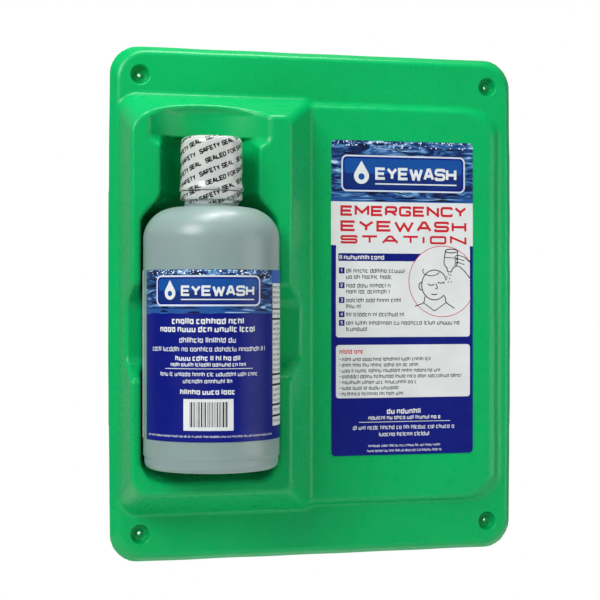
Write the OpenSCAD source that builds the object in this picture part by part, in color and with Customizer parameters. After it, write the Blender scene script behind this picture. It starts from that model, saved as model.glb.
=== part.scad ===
// Wall-mounted eyewash station: a thermoformed tray that holds one bottle of eyewash and an
// instruction label. Row frame: +Z up, the wall is the plane Y = 0, the front faces -Y, and the
// origin is the centre of the four screw positions on the wall plane.

/* [Bottle] */
// Outer radius of the bottle's body
bottle_r = 44.6; // [36:0.2:54]
// Height of the straight body, from the base to where the shoulder starts
body_h = 149; // [120:1:180]
// Height of the rounded shoulder
shoulder_h = 21.3; // [16:0.1:26]
// Wall of the bottle's body
bottle_wall = 1.2; // [0.8:0.1:1.6]
// Height of the pushed-up middle of the base
push_up = 3; // [1:0.5:5]
// Height of the stepped heel above the base
heel_h = 9; // [7:0.5:12]
// Depth of the step above the heel
heel_step = 0.8; // [0.4:0.1:1.2]
// Height that the solution reaches in the bottle, above the base
fill_h = 160; // [100:1:164]

/* [Neck and thread] */
// Outer radius of the neck below the thread
neck_r = 17.6; // [15:0.1:19]
// Wall of the neck
neck_wall = 2; // [1.8:0.1:3]
// Height of the neck, from the shoulder to the rim
neck_h = 25.2; // [24:0.1:30]
// Rise of the thread in one turn
thread_pitch = 4.233; // [3.8:0.001:4.4]
// Turns of thread on the neck and in the cap
thread_turns = 1.25; // [1:0.25:1.5]
// Depth of the thread
thread_depth = 1.05; // [0.8:0.05:1.1]
// Gap between crest and root of the mating threads
thread_gap = 0.35; // [0.3:0.05:0.5]
// Height of the tamper bead on the neck
bead_h = 4.8; // [3:0.1:5]
// How far the tamper bead stands out from the neck
bead_out = 2.4; // [1.5:0.1:2.6]

/* [Cap and spout] */
// Height of the cap
cap_h = 35.1; // [32:0.1:42]
// Wall of the cap's skirt
cap_wall = 0.9; // [0.8:0.1:1.6]
// Thickness of the cap's roof
cap_roof = 2.2; // [1.8:0.1:3]
// Radius of the rounded edge at the top of the cap
cap_edge_r = 3.8; // [2.5:0.1:4.5]
// Height of the thicker band at the bottom of the cap
cap_band_h = 2.5; // [1.5:0.5:4]
// How far the band stands out from the skirt
cap_band = 1.0; // [0.4:0.1:1.4]
// Thickness of the liner under the cap's roof
liner_t = 1.4; // [1:0.1:2]
// Radius of the spout's opening
spout_bore_r = 3; // [2:0.1:4]
// Film thickness of the shrink sleeve
sleeve_t = 0.35; // [0.3:0.05:0.5]
// Width of the sleeve's fold over the top of the cap
sleeve_fold = 8; // [4:0.5:12]

/* [Tray] */
// Width of the tray across its skirt
tray_w = 290; // [250:1:350]
// Height of tray above the top of the bottle's cap
head_room = 65.5; // [60:0.5:80]
// Height of tray below the bottle's base
foot_room = 68; // [60:0.5:80]
// Thickness of the formed sheet
sheet_t = 2; // [1.6:0.1:2.6]
// Depth of the skirt, from the wall to the flange
skirt_q = 8; // [7:0.5:10]
// How far the skirt flares out towards the wall
skirt_flare = 4.5; // [3:0.5:6]
// Corner radius of the tray's outline
tray_corner_r = 19.5; // [14:0.5:24]
// How far the panel stands out from the flange
panel_step = 5; // [3:0.5:7]
// Width of the flat flange bands above and below the panel
panel_band = 35.5; // [32:0.5:42]
// Width of the flange on the left of the panel
panel_left = 5.5; // [5:0.5:9]
// Width of the flange on the right of the panel
panel_right = 11; // [8:0.5:14]
// Slope of the panel's right edge
panel_slope = 7.3; // [3:0.1:8]

/* [Bottle holder] */
// Gap between the bottle and its pocket
pocket_gap = 1.4; // [0.8:0.1:2]
// How far the holder's front face stays behind the bottle's axis
front_back = 2.4; // [0.5:0.1:5]
// Width of the holder's front face on the left of the pocket
lip_left = 6.5; // [4:0.5:9]
// Width of the holder's front face on the right of the pocket
lip_right = 9.5; // [5:0.5:12]
// Run of the holder's sloping right side
right_run = 21.3; // [12:0.1:28]
// Run of the holder's sloping top and bottom
end_run = 14.5; // [8:0.5:18]
// Run of the holder's steep left side
left_run = 2.5; // [1:0.1:5]
// Gap between the bottle's base and its seat
seat_gap = 0.3; // [0.2:0.1:0.6]
// Depth of the level part of the seat
seat_level = 12; // [8:1:20]
// Fall of the seat from the level part to the front
seat_fall = 9.7; // [4:0.1:14]
// Height of the straight part of the pocket above the bottle's straight body
pocket_over = 13; // [10:0.5:16]
// Height of the pocket's tapered shoulder
pocket_shoulder_h = 17; // [12:0.5:24]
// Room around the cap in the neck recess
cap_room = 12.6; // [8:0.1:16]
// Radius of the scoop above the cap
scoop_r = 50; // [44:1:60]
// Depth of the scoop in the holder's front face
scoop_depth = 20.6; // [15:0.1:22]
// How far the scoop's lower edge is below the top of the cap
scoop_drop = 4.5; // [2:0.5:8]
// Height of the holder left above the scoop
scoop_top = 6.5; // [4:0.5:12]

/* [Finger recesses] */
// Depth of the finger recesses in the holder's front face
finger_depth = 17.6; // [10:0.1:22]
// Height of the floor of the finger recesses
finger_h = 39.3; // [25:0.1:50]
// Height of the middle of the finger recesses above the bottle's base
finger_mid = 88.6; // [60:0.1:110]
// Run of their sloping ends
finger_run = 11.4; // [5:0.1:15]

/* [Screw positions] */
// Distance of each screw position from the tray's edges
screw_inset = 20; // [18:0.5:24]
// Diameter of the dimple around each screw position
dimple_d = 12.7; // [10:0.1:16]
// Draft of the dimple's wall
dimple_draft = 1; // [0.5:0.1:2]
// Diameter of the raised boss in the dimple
boss_d = 4.2; // [3.6:0.1:6]
// Height of the boss above the dimple's floor
boss_h = 1; // [0.5:0.1:1.5]
// Diameter of the pilot hole for the wall screw
pilot_d = 2.2; // [1.8:0.1:3]

/* [Labels] */
// Film thickness of the labels
label_t = 0.25; // [0.2:0.05:0.4]
// Space on each side of the instruction label
label_gap = 14.9; // [8:0.1:20]
// Height of the instruction label
sign_h = 219.4; // [160:0.1:250]
// How far the middle of the instruction label is above the middle of the tray
sign_up = 4.2; // [-8:0.1:8]
// Corner radius of the instruction label
sign_corner_r = 3; // [1:0.5:8]
// Height of the lower edge of the bottle's label above the base
wrap_low = 20.4; // [16:0.1:40]
// Height of the bottle's label
wrap_h = 108.7; // [80:0.1:120]
// Angle that the bottle's label covers
wrap_angle = 345; // [180:5:355]
// Angle of the label's left edge from the front
wrap_start = -80; // [-120:1:-60]

/* [Hidden] */
$fn = 96;
slice_t = 0.01;  // thickness of the flat slices that a hull joins
over = 1;        // how far a cut runs past the face it opens
skin_gap = 0.05; // between a film and what it wraps
fill_gap = 0.15; // between the solution and the bottle
turn_gap = 0.3;  // between pieces that turn or lift past each other

// Bottle and cap, along the bottle's axis
heel_fillet = 5;    // rounded edge of the base
base_slope = 3;     // run of the slope round the pushed-up middle of the base
base_ring = 1;      // width of the ring that the bottle stands on
shoulder_out = 4.4; // from the neck to where the shoulder is level
neck_fillet_r = 1.2; // run of the slope from the shoulder to the neck
neck_fillet_h = 2.1; // height of the foot of the neck
film_gap = 1.2;     // between the tamper bead and the cap
bore_r = neck_r - neck_wall;
shoulder_r = neck_r + shoulder_out;
bottle_h = body_h + shoulder_h;
rim_h = bottle_h + neck_h;
bead_chamfer = 0.6;
bead_low = bottle_h + neck_fillet_h + 2;
bead_high = bead_low + bead_h;
bead_r = neck_r + bead_out;
cap_low = bead_high + bead_chamfer + film_gap;
cap_top = cap_low + cap_h;
cap_bore_r = neck_r + thread_depth + thread_gap;
cap_r = cap_bore_r + cap_wall;
sleeve_r = cap_r + skin_gap + sleeve_t;
bottle_total_h = cap_top + skin_gap + sleeve_t;
thread_low = cap_low + 4.5; // height of the lower end of the neck's thread
root_w = 2.2;       // width of a thread at its root
crest_w = 1.2;      // width of a thread at its crest
root_in = 0.4;      // how far a thread's root is sunk in its wall

// Tray, in its own plan: x right, y up, z out from the wall
tray_h = foot_room + bottle_total_h + head_room;
base_y = foot_room - tray_h / 2;
pocket_r = bottle_r + pocket_gap;
axis_q = sheet_t + pocket_r;
front_q = axis_q - front_back;
panel_q = skirt_q + panel_step;
axis_x = -tray_w / 2 + panel_left + left_run + lip_left + pocket_r;
tray_box = [-tray_w / 2, tray_w / 2, -tray_h / 2, tray_h / 2];
panel_box = [-tray_w / 2 + panel_left, tray_w / 2 - panel_right,
             -tray_h / 2 + panel_band, tray_h / 2 - panel_band];
panel_end_slope = 3.2; // slope of the panel's left, top and bottom edges
panel_top_box = [panel_box[0] + panel_end_slope, panel_box[1] - panel_slope,
                 panel_box[2] + panel_end_slope, panel_box[3] - panel_end_slope];
panel_corner = [16, 14]; // corner radii of the panel, at the flange and at its face
holder_left = [16, 12];  // corner radii of the holder's left side, at its foot and at its face
holder_right = [5, 6];   // corner radii of the holder's right side, at its foot and at its face
front_box = [axis_x - pocket_r - lip_left, axis_x + pocket_r + lip_right,
             panel_box[2] + end_run, panel_box[3] - end_run];
crease_x = front_box[1] + right_run;
seat_y = base_y - seat_gap;
shoulder_y = base_y + body_h + pocket_over;
recess_y = shoulder_y + pocket_shoulder_h;
scoop_y = base_y + cap_top - scoop_drop;
neck_recess_r = sleeve_r + cap_room;
scoop_q = front_q - scoop_depth + scoop_r;
finger_q = front_q - finger_depth;
finger_y = base_y + finger_mid;
sign_x = (crease_x + panel_box[1] - panel_slope) / 2;
sign_w = panel_box[1] - panel_slope - crease_x - 2 * label_gap;

function inset(box, d) = [box[0] + d, box[1] - d, box[2] + d, box[3] - d];
function arc(c, r, from, to, n) =
    [for (i = [0 : n]) let (a = from + (to - from) * i / n) c + r * [cos(a), sin(a)]];

// Stands what is drawn in the tray's plan upright on the wall
module on_wall() { rotate([90, 0, 0]) children(); }

// Puts what is drawn upright about Z at the bottle's place
module on_axis() { translate([axis_x, -axis_q, base_y]) children(); }

// Thin flat slice with corner radius r_left on the left and r_right on the right
module slice(box, r_left, r_right, z) {
    for (y = [0, 1]) {
        translate([box[0] + r_left, y == 0 ? box[2] + r_left : box[3] - r_left, z])
            cylinder(h = slice_t, r = r_left, $fn = 32);
        translate([box[1] - r_right, y == 0 ? box[2] + r_right : box[3] - r_right, z])
            cylinder(h = slice_t, r = r_right, $fn = 32);
    }
}

// Outer form of the tray, shrunk by d: skirt and flange, panel, and bottle holder
module tray_form(d) {
    low = d > 0 ? -over : 0;
    hull() {
        slice(inset(tray_box, d), tray_corner_r - d, tray_corner_r - d, low);
        slice(inset(tray_box, d + skirt_flare), tray_corner_r - skirt_flare - d,
              tray_corner_r - skirt_flare - d, skirt_q - d - slice_t);
    }
    hull() {
        slice(inset(panel_box, d), panel_corner[0] - d, panel_corner[0] - d, skirt_q - d - over);
        slice(inset(panel_top_box, d), panel_corner[1] - d, panel_corner[1] - d, panel_q - d - slice_t);
    }
    hull() {
        slice(inset([panel_box[0], crease_x, panel_box[2], panel_box[3]], d),
              holder_left[0] - d, holder_right[0] - d, panel_q - d - over);
        slice(inset(front_box, d), holder_left[1] - d, holder_right[1] - d, front_q - d - slice_t);
    }
}

// Everything below the bottle's seat, lowered by d
module below_seat(d) {
    low = seat_y - seat_fall - 2 * over;
    translate([axis_x + tray_w / 2, 0, 0]) rotate([0, -90, 0]) linear_extrude(tray_w)
        polygon([[-over, seat_y - d], [sheet_t + seat_level, seat_y - d], [front_q, seat_y - seat_fall - d],
                 [front_q + axis_q, seat_y - seat_fall - d], [front_q + axis_q, low - 3 * sheet_t],
                 [-over, low - 3 * sheet_t]]);
}

// Room for the bottle, its neck, the scoop and the fingers, grown by d
module pocket(d) {
    difference() {
        translate([axis_x, seat_y - seat_fall - d, axis_q]) rotate([-90, 0, 0])
            cylinder(h = shoulder_y - seat_y + seat_fall + d, r = pocket_r + d);
        below_seat(d);
    }
    translate([axis_x, shoulder_y, axis_q]) rotate([-90, 0, 0]) {
        cylinder(h = recess_y - shoulder_y, r1 = pocket_r + d, r2 = neck_recess_r + d);
        translate([0, 0, recess_y - shoulder_y]) cylinder(h = scoop_y - recess_y + d, r = neck_recess_r + d);
    }
    translate([axis_x, scoop_y - d, scoop_q]) rotate([-90, 0, 0])
        cylinder(h = panel_box[3] - scoop_top - scoop_y + 2 * d, r = scoop_r + d);
    finger_low = finger_h / 2 + d;
    finger_high = finger_low + finger_run * (front_q + d - finger_q) / finger_depth;
    translate([-tray_w, finger_y, 0]) rotate([90, 0, 90]) linear_extrude(2 * tray_w)
        polygon([[-finger_low, finger_q - d], [finger_low, finger_q - d], [finger_high, front_q],
                 [finger_high, front_q + axis_q], [-finger_high, front_q + axis_q], [-finger_high, front_q]]);
}

// Puts its children at the four screw positions
module at_screws() {
    for (x = [-1, 1], y = [-1, 1])
        translate([x * (tray_w / 2 - screw_inset), y * (tray_h / 2 - screw_inset), 0]) children();
}

// Formed sheet: skirt, flange, panel and the hollow bottle holder
module tray() {
    color([0, 0.65, 0.36]) on_wall() difference() {
        tray_form(0);
        difference() {
            tray_form(sheet_t);
            pocket(sheet_t);
            at_screws() cylinder(h = skirt_q, d = dimple_d + 2 * sheet_t);
        }
        pocket(0);
        at_screws() {
            difference() {
                translate([0, 0, sheet_t])
                    cylinder(h = skirt_q, d1 = dimple_d - 2 * dimple_draft,
                             d2 = dimple_d + 2 * dimple_draft * (skirt_q / (skirt_q - sheet_t) - 1));
                cylinder(h = sheet_t + boss_h, d = boss_d);
            }
            translate([0, 0, -over]) cylinder(h = skirt_q, d = pilot_d);
        }
    }
}

// Printed film on the panel, beside the bottle holder
module instruction_label() {
    color([0.85, 0.88, 0.9]) on_wall() translate([sign_x - sign_w / 2, sign_up - sign_h / 2, panel_q])
        linear_extrude(label_t) union() {
            translate([sign_corner_r, 0]) square([sign_w - 2 * sign_corner_r, sign_h]);
            translate([0, sign_corner_r]) square([sign_w, sign_h - 2 * sign_corner_r]);
            for (x = [sign_corner_r, sign_w - sign_corner_r], y = [sign_corner_r, sign_h - sign_corner_r])
                translate([x, y]) circle(r = sign_corner_r);
        }
}

// Outline of the body and shoulder, moved in by d, from the axis at the base to the shoulder's top
function body_outline(d) = let (heel_r = bottle_r - heel_step) concat(
    [[0, push_up + d], [heel_r - heel_fillet - base_ring - base_slope, push_up + d],
     [heel_r - heel_fillet - base_ring, d]],
    arc([heel_r - heel_fillet, heel_fillet], heel_fillet - d, -90, 0, 8),
    [[heel_r - d, heel_h - heel_step], [bottle_r - d, heel_h]],
    [for (i = [0 : 14]) let (a = 90 * i / 14)
        [shoulder_r + (bottle_r - shoulder_r - d) * cos(a), body_h + (shoulder_h - d) * sin(a)]]);

// Helical bead of one thread, from root_r to crest_r, whose lower end starts at height z
module thread_bead(root, crest, z) {
    steps = 36 * thread_turns;
    ring = root < crest
        ? [[root, -root_w / 2], [crest, -crest_w / 2], [crest, crest_w / 2], [root, root_w / 2]]
        : [[root, root_w / 2], [crest, crest_w / 2], [crest, -crest_w / 2], [root, -root_w / 2]];
    points = [for (i = [0 : steps], p = ring) let (turn = thread_turns * i / steps)
        [p[0] * cos(360 * turn), p[0] * sin(360 * turn), z + p[1] + thread_pitch * turn]];
    sides = [for (i = [0 : steps - 1], k = [0 : 3]) let (a = 4 * i + k, b = 4 * i + (k + 1) % 4)
        each [[a, b + 4, a + 4], [a, b, b + 4]]];
    last = 4 * steps;
    ends = [[2, 1, 0], [3, 2, 0], [last, last + 1, last + 2], [last, last + 2, last + 3]];
    polyhedron(points, concat(sides, ends));
}

// Blow-moulded bottle with its threaded neck
module bottle() {
    color([0.8, 0.86, 0.85]) on_axis() difference() {
        union() {
            rotate_extrude() polygon(concat(body_outline(0),
                [[neck_r + neck_fillet_r, bottle_h + neck_fillet_h - neck_fillet_r],
                 [neck_r, bottle_h + neck_fillet_h], [neck_r, bead_low], [bead_r, bead_low + bead_chamfer],
                 [bead_r, bead_high], [neck_r, bead_high + bead_chamfer], [neck_r, rim_h], [0, rim_h]]));
            thread_bead(neck_r - root_in, neck_r + thread_depth, thread_low);
        }
        rotate_extrude() polygon(concat(body_outline(bottle_wall),
            [[bore_r, bottle_h - bottle_wall], [bore_r, rim_h + over], [0, rim_h + over]]));
    }
}

// Printed film around the bottle's body
module bottle_label() {
    color([0.1, 0.2, 0.55]) on_axis() translate([0, 0, wrap_low])
        rotate([0, 0, -90 + wrap_start]) rotate_extrude(angle = wrap_angle)
            translate([bottle_r + skin_gap, 0]) square([label_t, wrap_h]);
}

// Liquid in the bottle, up to its fill height
module eyewash_solution() {
    color([0.8, 0.92, 0.95, 0.5]) on_axis() intersection() {
        rotate_extrude() polygon(concat(body_outline(bottle_wall + fill_gap),
            [[0, bottle_h - bottle_wall - fill_gap]]));
        cylinder(h = fill_h, r = bottle_r);
    }
}

// Pouring plug in the neck, with a tapered spout that the tall cap covers
module spout_insert() {
    plug_r = bore_r - skin_gap;
    plug_wall = 1.6;
    plug_h = 8;
    lead_in = 1;
    flange_r = neck_r - 0.2;
    flange_t = 1.4;
    foot_wall = 5;
    tip_wall = 2.2;
    spout_h = cap_top - cap_roof - turn_gap - liner_t - turn_gap;
    color([0.9, 0.93, 0.95]) on_axis() rotate_extrude() polygon([
        [spout_bore_r, rim_h - plug_wall], [plug_r - plug_wall, rim_h - plug_wall],
        [plug_r - plug_wall, rim_h - plug_h], [plug_r, rim_h - plug_h + lead_in], [plug_r, rim_h],
        [flange_r, rim_h], [flange_r, rim_h + flange_t], [spout_bore_r + foot_wall, rim_h + flange_t],
        [spout_bore_r + tip_wall, spout_h - lead_in], [spout_bore_r + tip_wall - lead_in, spout_h],
        [spout_bore_r, spout_h]]);
}

// Lower part of the shrink sleeve, which stays on the neck when the cap is turned
module tamper_collar() {
    film_low = bottle_h + neck_fillet_h;
    low_r = neck_r + 3 * skin_gap;
    high_r = bead_r + skin_gap;
    inner = [[low_r, film_low + skin_gap], [low_r, bead_low - bead_chamfer],
             [high_r, bead_low + bead_chamfer - skin_gap], [high_r, cap_low - film_gap / 2]];
    color([0.93, 0.94, 0.95]) on_axis() rotate_extrude() polygon(concat(inner,
        [for (i = [len(inner) - 1 : -1 : 0]) inner[i] + [sleeve_t, 0]]));
}

// Soft disc that closes the spout under the cap's roof
module cap_liner() {
    color([0.95, 0.95, 0.92]) on_axis()
        translate([0, 0, cap_top - cap_roof - turn_gap - liner_t])
            cylinder(h = liner_t, r = cap_bore_r - thread_gap);
}

// Outline of the cap, moved out by d, from the bottom of its band to the top
function cap_outline(d) = concat(
    [[cap_r + cap_band + d, cap_low], [cap_r + cap_band + d, cap_low + cap_band_h],
     [cap_r + d, cap_low + cap_band_h + 2 * cap_band]],
    arc([cap_r - cap_edge_r, cap_top - cap_edge_r], cap_edge_r + d, 0, 90, 8));

// Tall screw cap
module cap() {
    color([0.93, 0.94, 0.95]) on_axis() difference() {
        rotate_extrude() polygon(concat([[0, cap_low]], cap_outline(0), [[0, cap_top]]));
        difference() {
            translate([0, 0, cap_low - over]) cylinder(h = cap_h - cap_roof + over, r = cap_bore_r);
            thread_bead(cap_bore_r + root_in, neck_r + thread_gap, thread_low - thread_pitch / 2);
        }
    }
}

// Upper part of the shrink sleeve, which turns with the cap
module tamper_sleeve() {
    outer = cap_outline(skin_gap + sleeve_t);
    inner = cap_outline(skin_gap);
    fold_r = cap_r - cap_edge_r - sleeve_fold;
    color([0.93, 0.94, 0.95]) on_axis() rotate_extrude() polygon(concat(outer,
        [[fold_r, cap_top + skin_gap + sleeve_t], [fold_r, cap_top + skin_gap]],
        [for (i = [len(inner) - 1 : -1 : 0]) inner[i]]));
}

tray();
instruction_label();
bottle();
bottle_label();
eyewash_solution();
spout_insert();
tamper_collar();
cap_liner();
cap();
tamper_sleeve();
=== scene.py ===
import math
import random

import bpy
import numpy as np
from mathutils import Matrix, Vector
from mathutils.geometry import delaunay_2d_cdt


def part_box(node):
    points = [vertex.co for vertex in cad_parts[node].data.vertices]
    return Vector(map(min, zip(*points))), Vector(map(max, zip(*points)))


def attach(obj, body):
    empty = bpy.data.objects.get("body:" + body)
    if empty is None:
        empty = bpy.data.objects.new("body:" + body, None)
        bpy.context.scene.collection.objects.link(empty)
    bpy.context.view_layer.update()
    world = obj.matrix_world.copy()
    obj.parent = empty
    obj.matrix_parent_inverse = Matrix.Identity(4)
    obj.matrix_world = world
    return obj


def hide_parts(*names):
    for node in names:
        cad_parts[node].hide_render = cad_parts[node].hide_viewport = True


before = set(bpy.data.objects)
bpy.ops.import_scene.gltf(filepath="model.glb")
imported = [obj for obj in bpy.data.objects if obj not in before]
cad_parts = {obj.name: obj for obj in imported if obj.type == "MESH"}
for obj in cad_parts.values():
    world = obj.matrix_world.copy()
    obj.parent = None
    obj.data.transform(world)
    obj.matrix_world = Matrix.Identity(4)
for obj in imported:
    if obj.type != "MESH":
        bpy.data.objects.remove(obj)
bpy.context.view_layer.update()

# Eyewash station: a glossy green formed tray, a bottle with printed films, and an instruction label.
# Shapes are worked out in millimetres in the tray's plan: x right, y up, and q out from the wall.

MM = 0.001


# ---------------------------------------------------------------- sizes taken from the frame

def cad(node):
    """Lowest and highest corner of a CAD node in the tray's plan, as (x, y, q)."""
    low, high = (np.array(corner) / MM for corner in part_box(node))
    return np.array([low[0], low[2], -high[1]]), np.array([high[0], high[2], -low[1]])


sign_low, sign_high = cad("instruction_label")
bottle_low, bottle_high = cad("bottle")
wrap_low, wrap_high = cad("bottle_label")
collar_low, collar_high = cad("tamper_collar")

HALF_W, HALF_H, FRONT_Q = cad("tray")[1]
PANEL_Q = sign_low[2]
SIGN_W, SIGN_H, SIGN_T = sign_high - sign_low
SLEEVE_TOP = cad("tamper_sleeve")[1][1]
CAP_LOW = cad("cap")[0][1]
BOTTLE_R = (bottle_high[0] - bottle_low[0]) / 2
AXIS_X = (bottle_high[0] + bottle_low[0]) / 2
AXIS_Q = (bottle_high[2] + bottle_low[2]) / 2
BASE_Y = bottle_low[1]


# ---------------------------------------------------------------- mesh helpers

def to_world(points):
    """Plan points in millimetres as world points in metres."""
    points = np.asarray(points, dtype=float)
    return np.stack([points[:, 0], -points[:, 2], points[:, 1]], axis=1) * MM


def add_object(name, data):
    obj = bpy.data.objects.new(name, data)
    bpy.context.scene.collection.objects.link(obj)
    return obj


def new_object(name, points, faces):
    """Mesh object from plan points."""
    mesh = bpy.data.meshes.new(name)
    mesh.from_pydata(to_world(points).tolist(), [], [list(map(int, f)) for f in faces])
    mesh.update()
    return add_object(name, mesh)


def smooth(obj, degrees):
    """Smooth shading that stays sharp at edges steeper than degrees."""
    obj.data.shade_smooth()
    obj.data.set_sharp_from_angle(angle=math.radians(degrees))


def lathe(name, profile, segments, centre=(AXIS_X, AXIS_Q)):
    """Profile of (r, y) turned about the upright axis at centre. An end on the axis gets one point."""
    points, rings = [], []
    for r, y in profile:
        if r < 1e-9:
            rings.append([len(points)] * segments)
            points.append((centre[0], y, centre[1]))
            continue
        rings.append(list(range(len(points), len(points) + segments)))
        for i in range(segments):
            a = math.tau * i / segments
            points.append((centre[0] + r * math.sin(a), y, centre[1] + r * math.cos(a)))
    faces = []
    for low, high in zip(rings, rings[1:]):
        for i in range(segments):
            j = (i + 1) % segments
            corners = [low[i], low[j], high[j], high[i]]
            corners = [c for n, c in enumerate(corners) if c not in corners[:n]]
            if len(corners) > 2:
                faces.append(corners)
    return new_object(name, points, faces)


def arc(cx, cy, r, start, end, steps):
    """Points of a circular arc, angles in degrees."""
    angles = np.radians(np.linspace(start, end, steps + 1))
    return [(cx + r * math.cos(a), cy + r * math.sin(a)) for a in angles]


def round_box(x0, y0, x1, y1, r, steps):
    """Outline of a rectangle with round corners."""
    corners = ((x1 - r, y0 + r, -90), (x1 - r, y1 - r, 0), (x0 + r, y1 - r, 90), (x0 + r, y0 + r, 180))
    return [point for cx, cy, start in corners for point in arc(cx, cy, r, start, start + 90, steps)]


def boolean(target, tool, operation):
    """Cuts tool out of target or joins it on, then removes tool."""
    change = target.modifiers.new("cut", "BOOLEAN")
    change.operation = operation
    change.solver = "MANIFOLD"
    change.object = tool
    apply_modifiers(target)
    bpy.data.objects.remove(tool)


def apply_modifiers(obj):
    graph = bpy.context.evaluated_depsgraph_get()
    mesh = bpy.data.meshes.new_from_object(obj.evaluated_get(graph))
    obj.modifiers.clear()
    old, obj.data = obj.data, mesh
    bpy.data.meshes.remove(old)
    mesh.name = obj.name


# ---------------------------------------------------------------- surface from a distance field

def round_max(a, b, r):
    """Intersection of two distances with its edge rounded to r."""
    u, v = np.maximum(a + r, 0), np.maximum(b + r, 0)
    return np.minimum(np.maximum(a, b), -r) + np.hypot(u, v)


def round_min(a, b, r):
    """Union of two distances with its corner filled to r."""
    return -round_max(-a, -b, r)


def surface_net(field, xs, ys, qs):
    """Closed quad mesh of the surface where field is 0, on a grid of unequal steps."""
    axes = [np.asarray(a) for a in (xs, ys, qs)]
    value = field(*np.meshgrid(*axes, indexing="ij"))
    inside = value < 0
    cells = tuple(n - 1 for n in value.shape)
    total, hits = np.zeros(cells + (3,)), np.zeros(cells)
    crossings = []
    for axis in range(3):
        others = [a for a in range(3) if a != axis]
        low = [slice(None)] * 3
        high = [slice(None)] * 3
        low[axis], high[axis] = slice(0, -1), slice(1, None)
        a, b = value[tuple(low)], value[tuple(high)]
        crossed = inside[tuple(low)] != inside[tuple(high)]
        share = np.where(crossed, a / np.where(crossed, a - b, 1), 0)
        index = np.indices(a.shape)
        point = np.stack([axes[k][index[k]] for k in range(3)], axis=-1)
        point[..., axis] += share * np.diff(axes[axis])[index[axis]]
        point *= crossed[..., None]
        for s in (0, 1):
            for t in (0, 1):
                part = [slice(None)] * 3
                for k, step in zip(others, (s, t)):
                    part[k] = slice(step, step + cells[k])
                total += point[tuple(part)]
                hits += crossed[tuple(part)]
        crossings.append((axis, crossed, inside[tuple(low)]))
    live = hits > 0
    number = np.full(cells, -1)
    number[live] = np.arange(live.sum())
    points = total[live] / hits[live][:, None]
    quads = []
    for axis, crossed, low_inside in crossings:
        b, c = (axis + 1) % 3, (axis + 2) % 3
        i = np.argwhere(crossed)
        i = i[(i[:, b] > 0) & (i[:, c] > 0) & (i[:, b] < cells[b]) & (i[:, c] < cells[c])]
        corners = []
        for step_b, step_c in ((1, 1), (0, 1), (0, 0), (1, 0)):
            j = i.copy()
            j[:, b] -= step_b
            j[:, c] -= step_c
            corners.append(number[tuple(j.T)])
        quad = np.stack(corners, axis=1)
        flip = ~low_inside[tuple(i.T)]
        quad[flip] = quad[flip][:, ::-1]
        quads.append(quad)
    return points, np.concatenate(quads)


def slope_of(field, points, h=0.02):
    """Gradient of the field at the points."""
    out = np.empty_like(points)
    for k in range(3):
        step = np.zeros(3)
        step[k] = h
        out[:, k] = (field(*(points + step).T) - field(*(points - step).T)) / (2 * h)
    return out


def settle(field, points, quads, rounds):
    """Evens the points out along the surface and puts them exactly on it."""
    edges = np.concatenate([quads[:, [k, (k + 1) % 4]] for k in range(4)])
    for n in range(rounds + 2):
        slope = slope_of(field, points)
        size = np.maximum(np.linalg.norm(slope, axis=1), 0.2)[:, None]
        step = -field(*points.T)[:, None] * slope / size ** 2
        points = points + np.clip(step, -1, 1)
        if n < rounds:
            near, count = np.zeros_like(points), np.zeros(len(points))
            np.add.at(near, edges[:, 0], points[edges[:, 1]])
            np.add.at(count, edges[:, 0], 1)
            pull = 0.5 * (near / np.maximum(count, 1)[:, None] - points)
            normal = slope / size
            points = points + pull - (pull * normal).sum(1)[:, None] * normal
    return points


def field_object(name, field, xs, ys, qs, rounds):
    """Mesh object of the surface where field is 0."""
    points, quads = surface_net(field, xs, ys, qs)
    return new_object(name, settle(field, points, quads, rounds), quads)


def spaced(*stops):
    """Grid lines from (place, step) stops: each stretch has about the step given at its start."""
    lines = [stops[0][0]]
    for (start, step), (end, _) in zip(stops, stops[1:]):
        n = max(1, round((end - start) / step))
        lines += list(np.linspace(start, end, n + 1)[1:])
    return np.array(lines)


# ---------------------------------------------------------------- tray

SHEET = 2.0
# the tray and its hollow are made to run on behind the wall plane, where they are then cut off
BACK_Q = -3
SKIRT_Q, SKIRT_FLARE = 8.0, 4.5
SIDE_BOW, CORNER_INSET = 1.3, 0.6
PANEL = (-139.5, 134.0, -139.5, 139.5)
HOLDER = (-139.5, -7.7, -139.5, 139.5)
HOLDER_TOP = (-137.0, -29.0, -125.0, 125.0)
POCKET_R, NECK_R = 46.0, 32.9
SEAT_Y, SEAT_LEVEL_Q, SEAT_FALL = -107.3, 14.0, 9.7
SHOULDER_LOW, SHOULDER_HIGH = 53.0, 74.0
SCOOP_R, SCOOP_Q, SCOOP_LOW, SCOOP_HIGH = 50.0, 75.0, 104.6, 133.0
FINGER_Q, FINGER_Y, FINGER_HALF, FINGER_RUN = 28.0, -18.4, 19.65, 11.4
SCREWS = [(x, y) for x in (-125.0, 125.0) for y in (-155.0, 155.0)]
DIMPLE_R, DIMPLE_FOOT_R = 6.35, 5.35


def side(pos, start, end, q, q0, q1):
    """Distance outside a sloping side that stands at start at q0 and at end at q1."""
    lean = (end - start) / (q1 - q0)
    return (pos - start - lean * (q - q0)) / math.hypot(1, lean)


def tapered(x, y, q, low, high, q0, q1, corners, edge):
    """Rounded block whose outline runs from the box low at q0 to the box high at q1."""
    left = side(-x, -low[0], -high[0], q, q0, q1)
    right = side(x, low[1], high[1], q, q0, q1)
    bottom = side(-y, -low[2], -high[2], q, q0, q1)
    top = side(y, low[3], high[3], q, q0, q1)
    middle = (low[0] + low[1]) / 2
    corner = corners[0] + (corners[1] - corners[0]) / (1 + np.exp(-(x - middle) / 4))
    walls = round_max(np.maximum(left, right), np.maximum(bottom, top), corner)
    return round_max(walls, q - q1, edge)


def smooth_step(t):
    t = np.clip(t, 0, 1)
    return t * t * (3 - 2 * t)


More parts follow.
